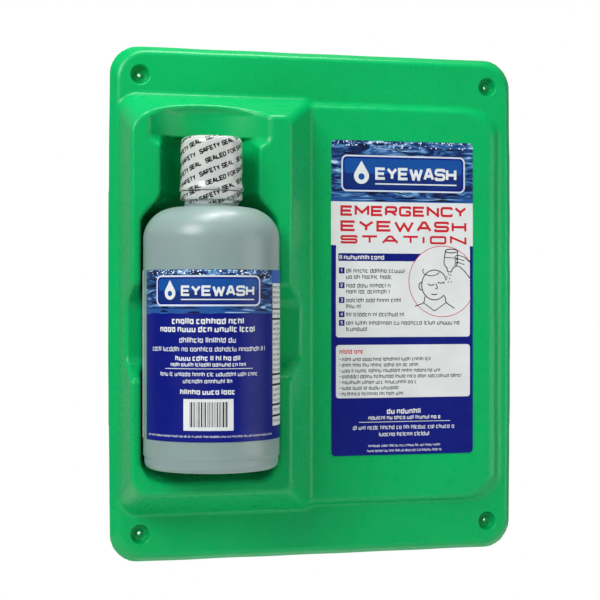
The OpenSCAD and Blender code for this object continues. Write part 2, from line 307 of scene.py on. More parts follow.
def pocket(x, y, q):
    """Distance outside the room for the bottle, its neck, the scoop and the fingers."""
    away = np.hypot(x - AXIS_X, q - AXIS_Q)
    narrow = smooth_step((y - SHOULDER_LOW) / (SHOULDER_HIGH - SHOULDER_LOW))
    lean = (POCKET_R - NECK_R) / (SHOULDER_HIGH - SHOULDER_LOW) * 6 * narrow * (1 - narrow)
    wall = (away - POCKET_R + (POCKET_R - NECK_R) * narrow) / np.hypot(1, lean)
    fall = SEAT_FALL / (FRONT_Q - SEAT_LEVEL_Q)
    seat = (SEAT_Y - fall * np.maximum(q - SEAT_LEVEL_Q, 0) - y) / np.hypot(1, fall)
    bottle_room = round_max(wall, seat, 6 + 9 * smooth_step((q - 8) / 36))
    bottle_room = round_max(bottle_room, y - SCOOP_LOW - 6, 1)
    scoop_away = np.hypot(x - AXIS_X, q - SCOOP_Q) - SCOOP_R
    scoop = round_max(scoop_away, np.abs(y - (SCOOP_LOW + SCOOP_HIGH) / 2)
                      - (SCOOP_HIGH - SCOOP_LOW) / 2, 7.5)
    spread = FINGER_HALF + FINGER_RUN * (q - FINGER_Q) / (FRONT_Q - FINGER_Q)
    lean = FINGER_RUN / (FRONT_Q - FINGER_Q)
    ends = (np.abs(y - FINGER_Y) - spread) / math.hypot(1, lean)
    fingers = round_max(ends, FINGER_Q - q, 4)
    room = round_min(bottle_room, scoop, 1.5)
    return round_min(room, fingers, 2.5)


def ripple(x, y):
    """Slight unevenness of a formed sheet."""
    return (0.10 * np.sin(x / 9.1 + 0.6 * np.sin(y / 23)) * np.sin(y / 11.3 + 1.2)
            + 0.07 * np.sin(y / 6.7 + x / 31 + 0.5) * np.sin(x / 17 + 2.1))


def sheet_front(x, y, q):
    """Distance outside the front surface of the formed sheet."""
    bow = SIDE_BOW * (1 - (y / HALF_H) ** 2) - CORNER_INSET
    x_rim = x * (1 - bow / HALF_W)
    skirt_low = (-HALF_W, HALF_W, -HALF_H, HALF_H)
    skirt_high = tuple(v - math.copysign(SKIRT_FLARE, v) for v in skirt_low)
    rim = tapered(x_rim, y, q, skirt_low, skirt_high, 0, SKIRT_Q, (17, 17), 2.2)
    panel_high = (PANEL[0] + 3.2, PANEL[1] - 7.3, PANEL[2] + 3.2, PANEL[3] - 3.2)
    # the panel's slope would come out through the skirt if it ran on down to the wall
    panel = tapered(x, y, np.maximum(q, SKIRT_Q - 3), PANEL, panel_high, SKIRT_Q, PANEL_Q, (15, 15), 1.8)
    holder = tapered(x, y, q, HOLDER, HOLDER_TOP, PANEL_Q, FRONT_Q, (13, 5.5), 2.4)
    form = round_min(round_min(rim, panel, 1.3), holder, 2.2)
    return round_max(form + ripple(x, y), -pocket(x, y, q), 2.6)


def closed_front(x, y, q):
    """Distance outside the block that lies behind the sheet's front surface."""
    return np.maximum(sheet_front(x, y, np.maximum(q, 0)), BACK_Q - q)


def cavity(x, y, q):
    """Distance outside the hollow behind the sheet."""
    posts = [np.hypot(x - sx, y - sy) - DIMPLE_R - SHEET for sx, sy in SCREWS]
    hollow = sheet_front(x, y, np.maximum(q, 0.5)) + SHEET
    hollow = round_max(hollow, -np.minimum.reduce(posts), 1.0)
    return np.maximum(hollow, BACK_Q - q)


def dimple_cutter(x, y):
    """Room of one screw dimple with its raised boss and pilot hole, turned about the screw's axis."""
    boss_r, boss_q, pilot_r = 2.1, SHEET + 1, 1.1
    lip, foot = 1.3, 0.9
    profile = [(0, -2), (pilot_r, -2), (pilot_r, boss_q - 0.15), (pilot_r + 0.15, boss_q)]
    profile += arc(boss_r - 0.3, boss_q - 0.3, 0.3, 90, 0, 3)
    profile += arc(boss_r + 0.5, SHEET + 0.5, 0.5, 180, 270, 3)
    profile += arc(DIMPLE_FOOT_R - foot, SHEET + foot, foot, -90, 0, 5)
    profile += arc(DIMPLE_R + lip, SKIRT_Q - lip, lip, 172, 88, 6)
    profile += [(DIMPLE_R + 1.25 * lip, SKIRT_Q + 0.35), (DIMPLE_R + 2 * lip, 12), (0, 12)]
    cutter = lathe("dimple", profile, 48, centre=(0, 0))
    for v in cutter.data.vertices:
        # turned about the tray's upright, so the axis is laid down to point out from the wall
        px, py, height = v.co.x / MM, -v.co.y / MM, v.co.z / MM
        v.co = ((x + px) * MM, -height * MM, (y - py) * MM)
    return cutter


def make_tray():
    xs = spaced((-150, 1.5), (-121, 2.2), (-48, 1.5), (-5, 3.8), (117, 1.6), (150, 1.6))
    ys = spaced((-180, 1.6), (-88, 2.4), (-56, 1.5), (20, 2.4), (50, 1.5), (180, 1.5))
    qs = spaced((-4, 2), (2, 1.2), (16, 2), (24, 1.4), (31, 2), (41, 1.2), (49, 1.2))
    tray = field_object("tray_sheet", closed_front, xs, ys, qs, 3)
    xs = spaced((-150, 3), (-134, 2), (-114, 3.5), (114, 2), (136, 3), (150, 3))
    ys = spaced((-180, 3), (-166, 2), (-144, 3.5), (144, 2), (166, 3), (180, 3))
    qs = spaced((-4, 2), (0, 2), (12, 3), (49, 3))
    boolean(tray, field_object("hollow", cavity, xs, ys, qs, 1), "DIFFERENCE")
    for x, y in SCREWS:
        boolean(tray, dimple_cutter(x, y), "DIFFERENCE")
    # everything behind the wall plane goes
    far = 200
    corners = [(x, y, q) for q in (3 * BACK_Q, 0) for y in (-far, far) for x in (-far, far)]
    sides = [(0, 2, 3, 1), (4, 5, 7, 6), (0, 1, 5, 4), (2, 6, 7, 3), (0, 4, 6, 2), (1, 3, 7, 5)]
    boolean(tray, new_object("wall", corners, sides), "DIFFERENCE")
    return tray


def field_normals(obj, field, limit=40):
    """Smooth shading with the field's own normals, so that long highlights run clean."""
    mesh = obj.data
    points = np.empty(len(mesh.vertices) * 3)
    mesh.vertices.foreach_get("co", points)
    points = points.reshape(-1, 3) / MM
    plan = np.stack([points[:, 0], points[:, 2], -points[:, 1]], axis=1)
    slope = slope_of(field, plan, 0.05)
    slope /= np.maximum(np.linalg.norm(slope, axis=1), 1e-6)[:, None]
    world = np.stack([slope[:, 0], -slope[:, 2], slope[:, 1]], axis=1)
    near = np.abs(field(*plan.T)) < 0.1
    mesh.shade_smooth()
    loops = np.empty(len(mesh.loops), dtype=int)
    mesh.loops.foreach_get("vertex_index", loops)
    face_n = np.empty(len(mesh.polygons) * 3)
    mesh.polygons.foreach_get("normal", face_n)
    sizes = np.empty(len(mesh.polygons), dtype=int)
    mesh.polygons.foreach_get("loop_total", sizes)
    face_n = np.repeat(face_n.reshape(-1, 3), sizes, axis=0)
    agree = (world[loops] * face_n).sum(1) > math.cos(math.radians(limit))
    mesh.set_sharp_from_angle(angle=math.radians(limit))
    corner = np.empty(len(mesh.loops) * 3)
    mesh.corner_normals.foreach_get("vector", corner)
    corner = corner.reshape(-1, 3)
    use = near[loops] & agree
    corner[use] = world[loops][use]
    mesh.normals_split_custom_set(corner.tolist())


# ---------------------------------------------------------------- materials

def srgb(r, g, b):
    """Linear colour from 0-255 sRGB."""
    return tuple(((c / 255 + 0.055) / 1.055) ** 2.4 if c > 10 else c / 255 / 12.92 for c in (r, g, b)) + (1,)


class Nodes:
    """Short way to write a node tree."""

    def __init__(self, material):
        self.tree = material.node_tree
        self.shader = self.tree.nodes["Principled BSDF"]
        self.coords = self.tree.nodes.new("ShaderNodeTexCoord")

    def add(self, kind, **values):
        node = self.tree.nodes.new("ShaderNode" + kind)
        for name, value in values.items():
            if name in node.inputs:
                node.inputs[name].default_value = value
            else:
                setattr(node, name, value)
        return node

    def link(self, out, into):
        self.tree.links.new(out, into)

    def noise(self, scale, detail, **values):
        node = self.add("TexNoise", **{"Scale": scale, "Detail": detail}, **values)
        self.link(self.coords.outputs["Object"], node.inputs["Vector"])
        return node

    def spread(self, factor, low, high):
        """Noise factor, mostly 0.35 to 0.65, mapped to low..high."""
        node = self.add("MapRange", **{"From Min": 0.35, "From Max": 0.65, "To Min": low, "To Max": high})
        self.link(factor, node.inputs["Value"])
        return node.outputs["Result"]

    def blend(self, factor, low, high):
        """Colour between low and high."""
        node = self.add("Mix", data_type="RGBA")
        self.link(factor, node.inputs["Factor"])
        node.inputs[6].default_value, node.inputs[7].default_value = low, high
        return node.outputs[2]

    def bump(self, height, depth, strength):
        """Bump of a real depth in metres, chained on any earlier bump."""
        node = self.add("Bump", **{"Strength": strength, "Distance": depth})
        self.link(height, node.inputs["Height"])
        normal = self.shader.inputs["Normal"]
        if normal.links:
            self.link(normal.links[0].from_socket, node.inputs["Normal"])
        self.link(node.outputs["Normal"], normal)


def material(name, **values):
    made = bpy.data.materials.new(name)
    made.use_nodes = True
    nodes = Nodes(made)
    for key, value in values.items():
        nodes.shader.inputs[key.replace("_", " ")].default_value = value
    return made, nodes


def tray_material():
    made, n = material("green_formed_sheet", IOR=1.46, Specular_IOR_Level=0.27)
    tone = n.noise(9, 3)
    n.link(n.blend(n.spread(tone.outputs["Fac"], 0, 1), srgb(0, 158, 84), srgb(0, 165, 89)),
           n.shader.inputs["Base Color"])
    n.link(n.spread(n.noise(140, 3).outputs["Fac"], 0.26, 0.36), n.shader.inputs["Roughness"])
    n.bump(n.noise(260, 2).outputs["Fac"], 0.00004, 0.25)
    return made


def paint(obj, *materials):
    """Gives obj these materials. Clearing an empty list would reset the faces' material numbers."""
    if obj.data.materials:
        obj.data.materials.clear()
    for m in materials:
        obj.data.materials.append(m)


# "water" faces get the water material instead of their ink
INKS = {
    "navy": srgb(2, 17, 112), "white": srgb(206, 210, 210), "red": srgb(186, 30, 44),
    "black": srgb(28, 28, 32), "water": srgb(40, 84, 140), "water_dark": srgb(6, 14, 48),
    "water_mid": srgb(30, 76, 140), "water_light": srgb(150, 185, 215), "foam": srgb(232, 240, 246),
    "plate": srgb(12, 70, 142), "plate_low": srgb(8, 40, 108), "plate_edge": srgb(190, 200, 212),
    "film_back": srgb(222, 226, 228), "sleeve": srgb(184, 188, 185), "strip": srgb(34, 84, 170),
}


def ink_material(name, **values):
    """Printed film: the ink colours lie on the mesh, and the nodes add grain, gloss and unevenness."""
    made, n = material(name, **values)
    grain = 0.05
    ink = n.add("Attribute", attribute_name="ink")
    shade = n.spread(n.noise(60, 4).outputs["Fac"], 1 - grain, 1 + grain * 0.4)
    mix = n.add("Mix", data_type="RGBA", blend_type="MULTIPLY")
    mix.inputs["Factor"].default_value = 1
    n.link(ink.outputs["Color"], mix.inputs[6])
    n.link(shade, mix.inputs[7])
    n.link(mix.outputs[2], n.shader.inputs["Base Color"])
    return made, n


def sign_film_material(name, roughness, wave):
    made, n = ink_material(name, IOR=1.48, Specular_IOR_Level=0.2)
    n.link(n.spread(n.noise(90, 3).outputs["Fac"], roughness - 0.04, roughness + 0.05),
           n.shader.inputs["Roughness"])
    n.bump(n.noise(26, 2).outputs["Fac"], wave, 0.4)
    n.bump(n.noise(900, 2).outputs["Fac"], 0.00002, 0.3)
    return made


def water_material():
    """Printed picture of rippling water, drawn in the film's own flat coordinates."""
    made, n = material("printed_water", Roughness=0.4, IOR=1.48, Specular_IOR_Level=0.3)
    stretch = n.add("Mapping")
    stretch.inputs["Scale"].default_value = (4.2, 17.0, 1.0)
    stretch.inputs["Rotation"].default_value = (0, 0, math.radians(7))
    n.link(n.coords.outputs["UV"], stretch.inputs["Vector"])
    waves = n.add("TexNoise", Scale=1.2, Detail=6.0, Roughness=0.58, Distortion=1.4)
    n.link(stretch.outputs["Vector"], waves.inputs["Vector"])
    ramp = n.add("ValToRGB")
    stops = ((0.34, srgb(3, 10, 38)), (0.46, srgb(10, 34, 84)), (0.55, srgb(36, 82, 138)),
             (0.62, srgb(84, 134, 180)), (0.70, srgb(200, 218, 232)))
    ramp.color_ramp.elements[0].position, ramp.color_ramp.elements[0].color = stops[0]
    ramp.color_ramp.elements[1].position, ramp.color_ramp.elements[1].color = stops[-1]
    for place, colour in stops[1:-1]:
        ramp.color_ramp.elements.new(place).color = colour
    n.link(waves.outputs["Fac"], ramp.inputs["Fac"])
    n.link(ramp.outputs["Color"], n.shader.inputs["Base Color"])
    return made


def sleeve_material():
    made, n = ink_material("printed_shrink_film", IOR=1.5, Coat_Weight=0.25, Coat_Roughness=0.1,
                           Subsurface_Weight=0.15, Subsurface_Scale=0.001)
    n.link(n.spread(n.noise(160, 3).outputs["Fac"], 0.14, 0.3), n.shader.inputs["Roughness"])
    n.bump(n.noise(130, 3, Distortion=0.6).outputs["Fac"], 0.0006, 0.5)
    n.bump(n.noise(700, 2).outputs["Fac"], 0.0001, 0.3)
    return made


def plastic(name, low, high, roughness, tone_scale=20, bump=0.00004, **values):
    """Moulded plastic with a slight cloudiness in its colour and gloss."""
    made, n = material(name, **values)
    n.link(n.blend(n.spread(n.noise(tone_scale, 3).outputs["Fac"], 0, 1), low, high),
           n.shader.inputs["Base Color"])
    n.link(n.spread(n.noise(190, 3).outputs["Fac"], roughness - 0.05, roughness + 0.06),
           n.shader.inputs["Roughness"])
    n.bump(n.noise(520, 2).outputs["Fac"], bump, 0.4)
    return made


# ---------------------------------------------------------------- bottle

WALL = 1.2
HEEL_R, HEEL_FILLET, HEEL_Y, HEEL_STEP = BOTTLE_R - 0.8, 5.0, 9.0, 0.8
PUSH_UP = 3.0
BODY_H, SHOULDER_H = 149.0, 21.3
THROAT_R, BORE_R = 17.6, 15.6
SHOULDER_R = THROAT_R + 4.4
BEAD_R = 20.0
THREAD_PITCH, THREAD_TURNS, THREAD_OUT = 4.233, 1.25, 1.05


def body_profile(inset):
    """Profile of the body and shoulder, from the middle of the base up, set in by inset."""
    ring = HEEL_R - HEEL_FILLET
    points = [(0, PUSH_UP + inset), (ring - 9, PUSH_UP + inset - 0.2), (ring - 4.6, PUSH_UP + inset - 0.8),
              (ring - 2.4, 0.5 + inset), (ring - 1.2, inset)]
    points += arc(ring, HEEL_FILLET, HEEL_FILLET - inset, -90, 0, 12)
    points += [(HEEL_R - inset, HEEL_Y - HEEL_STEP - 0.3), (HEEL_R - inset + 0.1, HEEL_Y - HEEL_STEP)]
    points += [(BOTTLE_R - inset - 0.12, HEEL_Y - 0.1), (BOTTLE_R - inset, HEEL_Y + 0.3)]
    points += [(BOTTLE_R - inset, y) for y in np.linspace(16, BODY_H - 6, 12)]
    reach, rise = BOTTLE_R - SHOULDER_R - inset, SHOULDER_H - inset
    points += [(SHOULDER_R + reach * math.cos(a), BODY_H + rise * math.sin(a))
               for a in np.radians(np.linspace(0, 90, 33))]
    return points


def make_bottle():
    top = BODY_H + SHOULDER_H
    bead_y, rim_y = 174.4, 195.5
    outside = body_profile(0)
    outside += arc(THROAT_R + 1.9, top + 2.1, 1.9, 268, 182, 7)
    outside += [(THROAT_R, bead_y - 0.4), (THROAT_R + 0.3, bead_y), (BEAD_R - 0.3, bead_y + 0.5)]
    outside += [(BEAD_R, bead_y + 0.9), (BEAD_R, bead_y + 4.5), (BEAD_R - 0.3, bead_y + 4.9)]
    outside += [(THROAT_R, bead_y + 5.5), (THROAT_R, rim_y - 0.4), (THROAT_R - 0.4, rim_y)]
    inside = body_profile(WALL)[:-1] + arc(BORE_R + 1.5, top - WALL + 1.5, 1.5, 268, 182, 6)
    inside += [(BORE_R, rim_y - 0.4), (BORE_R + 0.4, rim_y)]
    profile = [(r, BASE_Y + y) for r, y in outside + inside[::-1]]
    bottle = lathe("bottle_shell", profile, 144)
    boolean(bottle, thread_bead(BASE_Y + 185.5), "UNION")
    return bottle


def thread_bead(low):
    """Helical thread bead that tapers into the neck at both ends."""
    steps = int(72 * THREAD_TURNS)
    points, faces = [], []
    for i in range(steps + 1):
        a = math.tau * THREAD_TURNS * i / steps
        fade = min(1, min(i, steps - i) / 8)
        crest = THROAT_R + THREAD_OUT * fade - 0.2 * (1 - fade)
        y = low + THREAD_PITCH * a / math.tau
        section = [(THROAT_R - 0.4, -1.1), (crest, -0.6), (crest, 0.6), (THROAT_R - 0.4, 1.1)]
        # a right-hand thread rises as it turns from the front towards +x
        points += [(AXIS_X + r * math.sin(a), y + dy, AXIS_Q + r * math.cos(a)) for r, dy in section]
    for i in range(steps):
        for k in range(4):
            p, q = 4 * i + k, 4 * i + (k + 1) % 4
            faces.append((p, p + 4, q + 4, q))
    last = 4 * steps
    faces += [(0, 1, 2, 3), (last + 3, last + 2, last + 1, last)]
    return new_object("thread", points, faces)


# ---------------------------------------------------------------- flat print

def rounded(path, r):
    """Path with its inner corners rounded to about r."""
    out = [path[0]]
    for before, here, after in zip(path, path[1:], path[2:]):
        here, before, after = (np.array(p, dtype=float) for p in (here, before, after))
        back, on = before - here, after - here
        cut = min(r, 0.48 * np.linalg.norm(back), 0.48 * np.linalg.norm(on))
        start = here + back / np.linalg.norm(back) * cut
        end = here + on / np.linalg.norm(on) * cut
        for t in np.linspace(0, 1, 5):
            out.append(tuple((1 - t) ** 2 * start + 2 * t * (1 - t) * here + t ** 2 * end))
    return out + [path[-1]]


ROUND, SHARP = True, False
LETTERS = {
    "A": [(SHARP, [(0, 0), (0.40, 1), (0.60, 1), (1, 0)]), (SHARP, [(0.16, 0.33), (0.84, 0.33)])],
    "C": [(ROUND, [(1, 0.76), (1, 1), (0, 1), (0, 0), (1, 0), (1, 0.24)])],
    "D": [(SHARP, [(0, 0), (0, 1)]), (ROUND, [(0, 1), (1, 1), (1, 0), (0, 0)])],
    "E": [(SHARP, [(1, 1), (0, 1), (0, 0), (1, 0)]), (SHARP, [(0, 0.5), (0.9, 0.5)])],
    "F": [(SHARP, [(1, 1), (0, 1), (0, 0)]), (SHARP, [(0, 0.48), (0.88, 0.48)])],
    "G": [(ROUND, [(1, 0.76), (1, 1), (0, 1), (0, 0), (1, 0), (1, 0.45), (0.58, 0.45)])],
    "H": [(SHARP, [(0, 0), (0, 1)]), (SHARP, [(1, 0), (1, 1)]), (SHARP, [(0, 0.5), (1, 0.5)])],
    "I": [(SHARP, [(0, 0), (0, 1)])],
    "L": [(SHARP, [(0, 1), (0, 0), (1, 0)])],
    "M": [(SHARP, [(0, 0), (0, 1), (0.5, 0.3), (1, 1), (1, 0)])],
    "N": [(SHARP, [(0, 0), (0, 1), (1, 0), (1, 1)])],
    "O": [(ROUND, [(0.5, 1), (0, 1), (0, 0), (0.5, 0)]), (ROUND, [(0.5, 0), (1, 0), (1, 1), (0.5, 1)])],
    "R": [(SHARP, [(0, 0), (0, 1)]), (ROUND, [(0, 1), (1, 1), (1, 0.44), (0, 0.44)]),
          (SHARP, [(0.5, 0.44), (1, 0)])],
    "S": [(ROUND, [(1, 0.78), (1, 1), (0, 1), (0, 0.5), (1, 0.5), (1, 0), (0, 0), (0, 0.22)])],
    "T": [(SHARP, [(0, 1), (1, 1)]), (SHARP, [(0.5, 1), (0.5, 0)])],
    "W": [(SHARP, [(0, 1), (0.26, 0), (0.5, 0.8), (0.74, 0), (1, 1)])],
    "Y": [(SHARP, [(0, 1), (0.5, 0.48), (1, 1)]), (SHARP, [(0.5, 0.5), (0.5, 0)])],
    "1": [(SHARP, [(0.1, 0.72), (0.5, 1), (0.5, 0)])],
    "2": [(ROUND, [(0, 0.8), (0, 1), (1, 1), (1, 0.55), (0, 0.3), (0, 0), (1, 0)])],
    "3": [(ROUND, [(0, 1), (1, 1), (1, 0.52), (0.3, 0.52)]),
          (ROUND, [(0.3, 0.52), (1, 0.52), (1, 0), (0, 0)])],
    "4": [(SHARP, [(0.8, 0), (0.8, 1), (0, 0.3), (1, 0.3)])],
    "5": [(ROUND, [(1, 1), (0, 1), (0, 0.58), (1, 0.58), (1, 0), (0, 0)])],
}
LETTER_WIDTHS = {"I": 0.12, "M": 1.2, "W": 1.35, " ": 0.35, "1": 0.6}
GREEK_LETTERS = [
    (0.1, [[(0, 0), (0, 1)]]),
    (0.6, [[(0, 0), (0, 0.7), (1, 0.7), (1, 0)]]),
    (0.6, [[(0, 0.7), (0, 0), (1, 0), (1, 0.7)]]),
    (0.5, [[(1, 0.7), (0, 0.7), (0, 0), (1, 0)]]),
    (0.6, [[(0, 0), (0, 0.7), (1, 0.7), (1, 0), (0.1, 0)]]),
    (0.6, [[(0, 0), (0, 1)], [(0, 0.7), (1, 0.7), (1, 0)]]),
    (0.6, [[(1, 0), (1, 1)], [(1, 0.7), (0, 0.7), (0, 0), (1, 0)]]),
    (0.1, [[(0, 0), (0, 0.7)]]),
]


class Print:
    """Flat print in millimetres, x right and y up. Later shapes cover earlier ones."""

    def __init__(self, outline, ink, seed):
        self.shapes = [(outline, ink)]
        self.random = random.Random(seed)

    def polygon(self, points, ink):
        points = [tuple(map(float, p)) for p in points]
        twice = sum(a[0] * b[1] - a[1] * b[0] for a, b in zip(points, points[1:] + points[:1]))
        self.shapes.append((points if twice > 0 else points[::-1], ink))

    def box(self, x0, y0, x1, y1, ink, r=0.0):
        x0, x1, y0, y1 = min(x0, x1), max(x0, x1), min(y0, y1), max(y0, y1)
        if r <= 0:
            return self.polygon([(x0, y0), (x1, y0), (x1, y1), (x0, y1)], ink)
        self.polygon(round_box(x0, y0, x1, y1, r, 5), ink)

    def disc(self, cx, cy, r, ink, steps=64):
        self.polygon(arc(cx, cy, r, 0, 360, steps)[:-1], ink)

    def stroke(self, path, width, ink):
        """Line of the given width along an open path, as one bar for each stretch."""
        path = np.array(path, dtype=float)
        ahead = np.diff(path, axis=0)
        length = np.maximum(np.linalg.norm(ahead, axis=1), 1e-6)
        ahead /= length[:, None]
        turns = np.clip((ahead[1:] * ahead[:-1]).sum(1), -0.999, 1)
        reach = np.concatenate([[0], np.minimum(np.sqrt((1 - turns) / (1 + turns)), 1), [0]]) * width / 2
        for k, way in enumerate(ahead):
            out = np.array([-way[1], way[0]]) * width / 2
            start, end = path[k] - way * reach[k], path[k + 1] + way * reach[k + 1]
            self.polygon([start - out, end - out, end + out, start + out], ink)

    def write(self, text, x, y, width, height, weight, ink, turn=0.0):
        """Word in wide capitals from (x, y), fitted to width; turn in degrees about (x, y)."""
        units = [LETTER_WIDTHS.get(c, 1.0) for c in text]
        gap = 0.38
        unit = (width - weight) / (sum(units) + gap * (len(text) - 1))
        c, s = math.cos(math.radians(turn)), math.sin(math.radians(turn))
        across, tall = 0.0, height - weight
        for letter, size in zip(text, units):
            for soft, path in LETTERS.get(letter, ()):
                path = [(across + px * size * unit + weight / 2, py * tall + weight / 2) for px, py in path]
                if soft:
                    path = rounded(path, 0.28 * tall)
                self.stroke([(x + px * c - py * s, y + px * s + py * c) for px, py in path], weight, ink)
            across += (size + gap) * unit

    def greek(self, x, y, width, height, ink, weight=0.15, centred=False):
        """Row of letter-like shapes that reads as small print without saying anything."""
        x0 = x - width / 2 if centred else x
        end, here, left = x0 + width, x0, 0
        while here < end - 0.3 * height:
            if left == 0:
                left = self.random.choice((2, 3, 4, 5, 6, 7, 8))
            size, paths = self.random.choice(GREEK_LETTERS)
            size = min(size * height * (0.62 + weight), end - here - weight * height)
            if size < 1.7 * weight * height:
                size, paths = 0, GREEK_LETTERS[0][1]
            for path in paths:
                self.stroke([(here + px * size, y + py * height * 0.92) for px, py in path],
                            weight * height, ink)
            left -= 1
            here += size + height * (0.15 + weight if left else 0.72)

    def mesh(self, lines):
        """Triangles of the print, cut along lines too: (points, faces, ink of each face)."""
        points, faces, edges = [], [], []
        for shape, _ in self.shapes:
            faces.append(list(range(len(points), len(points) + len(shape))))
            points += [Vector(p) for p in shape]
        for start, end in lines:
            edges.append((len(points), len(points) + 1))
            points += [Vector(start), Vector(end)]
        out = delaunay_2d_cdt(points, edges, faces, 1, 1e-4)
        kept, inks = [], []
        for face, sources in zip(out[2], out[5]):
            if 0 in sources:
                kept.append(list(face))
                inks.append(self.shapes[max(sources)][1])
        return [tuple(p) for p in out[0]], kept, inks


def guides(xs, y_ends, ys=(), x_ends=()):
    """Upright and level lines across a print, which give its mesh points to bend at."""
    upright = [((x, y_ends[0]), (x, y_ends[1])) for x in xs]
    return upright + [((x_ends[0], y), (x_ends[1], y)) for y in ys]


def film(name, flat, lines, place, thick):
    """Closed thin film of a print: place(x, y, depth) gives the plan point at a depth below the face."""
    points, faces, inks = flat.mesh(lines)
    used = sorted({i for f in faces for i in f})
    number = {i: n for n, i in enumerate(used)}
    flat_points = np.array([points[i] for i in used])
    faces = [[number[i] for i in f] for f in faces]
    n = len(used)
    body = np.concatenate([place(flat_points[:, 0], flat_points[:, 1], depth) for depth in (0, thick)])
    count = {}
    for f in faces:
        for a, b in zip(f, f[1:] + f[:1]):
            count[(a, b)] = count.get((a, b), 0) + 1
    rim = [(a, b) for a, b in count if (b, a) not in count]
    walls = [(b, a, a + n, b + n) for a, b in rim]
    back = [[i + n for i in reversed(f)] for f in faces]
    obj = new_object(name, body, faces + back + walls)
    plain = INKS["film_back"]
    colours = [INKS[ink] for ink in inks] + [plain] * (len(back) + len(walls))
    attribute = obj.data.color_attributes.new("ink", "FLOAT_COLOR", "CORNER")
    values = np.concatenate([np.tile(c, len(p.vertices)) for c, p in zip(colours, obj.data.polygons)])
    attribute.data.foreach_set("color", values)
    uv = obj.data.uv_layers.new(name="flat")
    corners = np.empty(len(obj.data.loops), dtype=int)
    obj.data.loops.foreach_get("vertex_index", corners)
    uv.data.foreach_set("uv", (np.tile(flat_points, (2, 1))[corners] / 100).ravel())
    water = [ink == "water" for ink in inks] + [False] * (len(back) + len(walls))
    obj.data.polygons.foreach_set("material_index", np.array(water, dtype=int))
    smooth(obj, 40)
    return obj


# ---------------------------------------------------------------- what is printed

def foam(flat, x0, x1, y, count, depth):
    """Specks of spray along the upper edge of the printed water."""
    for _ in range(count):
        x, drop = flat.random.uniform(x0 + 1.2, x1 - 1.2), flat.random.random() ** 2 * depth
        r = flat.random.uniform(0.15, 0.55)
        drop += 1.3 * r
        wobble = [flat.random.uniform(0.5, 1.2) for _ in range(7)]
        angles = np.linspace(0, math.tau, 7, endpoint=False)
        flat.polygon([(x + 1.5 * r * w * math.cos(a), y - drop + r * w * math.sin(a))
                      for a, w in zip(angles, wobble)], flat.random.choice(("foam", "foam", "water_light")))


def streaks(flat, x0, x1, y0, y1, count):
    """Long lens-shaped ripples of dark and light water."""
    for _ in range(count):
        half, thick = flat.random.uniform(3, 13), flat.random.uniform(0.25, 1.1)
        x, y = flat.random.uniform(x0 + half, x1 - half), flat.random.uniform(y0, y1)
        room = min(y - y0, y1 - y)
        tilt = flat.random.uniform(-0.14, 0.06) * min(1, room / 2)
        sag = flat.random.uniform(-1.2, 1.2) * min(1, room / 2)
        ink = flat.random.choice(("water_dark", "water_dark", "water_mid", "water_light"))
        if ink == "water_light":
            thick *= 0.4
        ts = np.linspace(-1, 1, 11)
        spine = [(x + half * t, y + tilt * half * t + sag * (1 - t * t)) for t in ts]
        top = [(px, py + thick * (1 - t * t)) for (px, py), t in zip(spine, ts)]
        low = [(px, py - 0.5 * thick * (1 - t * t)) for (px, py), t in zip(spine[1:-1], ts[1:-1])]
        flat.polygon(top + low[::-1], ink)


def badge(flat, x0, y0, x1, y1, word):
    """Name plate: a drop and an underlined word in two blues, inside a dark line and a pale border."""
    r = 4.0
    flat.box(x0, y0, x1, y1, "plate_edge", r)
    flat.box(x0 + 1.1, y0 + 1.1, x1 - 1.1, y1 - 1.1, "navy", r - 0.9)
    flat.box(x0 + 2.2, y0 + 2.2, x1 - 2.2, y1 - 2.2, "plate_low", r - 1.6)
    flat.box(x0 + 2.2, (y0 + y1) / 2, x1 - 2.2, y1 - 2.2, "plate", r - 1.6)
    high, mid = y1 - y0, (y0 + y1) / 2
    cx, size = x0 + 0.16 * (x1 - x0), 0.30 * high
    flat.polygon([(cx, mid + 1.15 * size)] + arc(cx, mid - 0.25 * size, 0.72 * size, 28, -208, 21), "white")
    flat.disc(cx, mid - 0.3 * size, 0.3 * size, "plate", steps=20)
    left, right = x0 + 0.27 * (x1 - x0), x1 - 0.07 * (x1 - x0)
    flat.write(word, left, mid - 0.17 * high, right - left, 0.34 * high, 0.075 * high, "white")
    flat.box(left, mid - 0.30 * high, right, mid - 0.265 * high, "white")


def centred_rows(flat, middle, rows):
    """White rows of letter-like marks about a middle, each as (y, width, height, weight)."""
    for y, width, height, weight in rows:
        flat.greek(middle, y, width, height, "white", weight, centred=True)


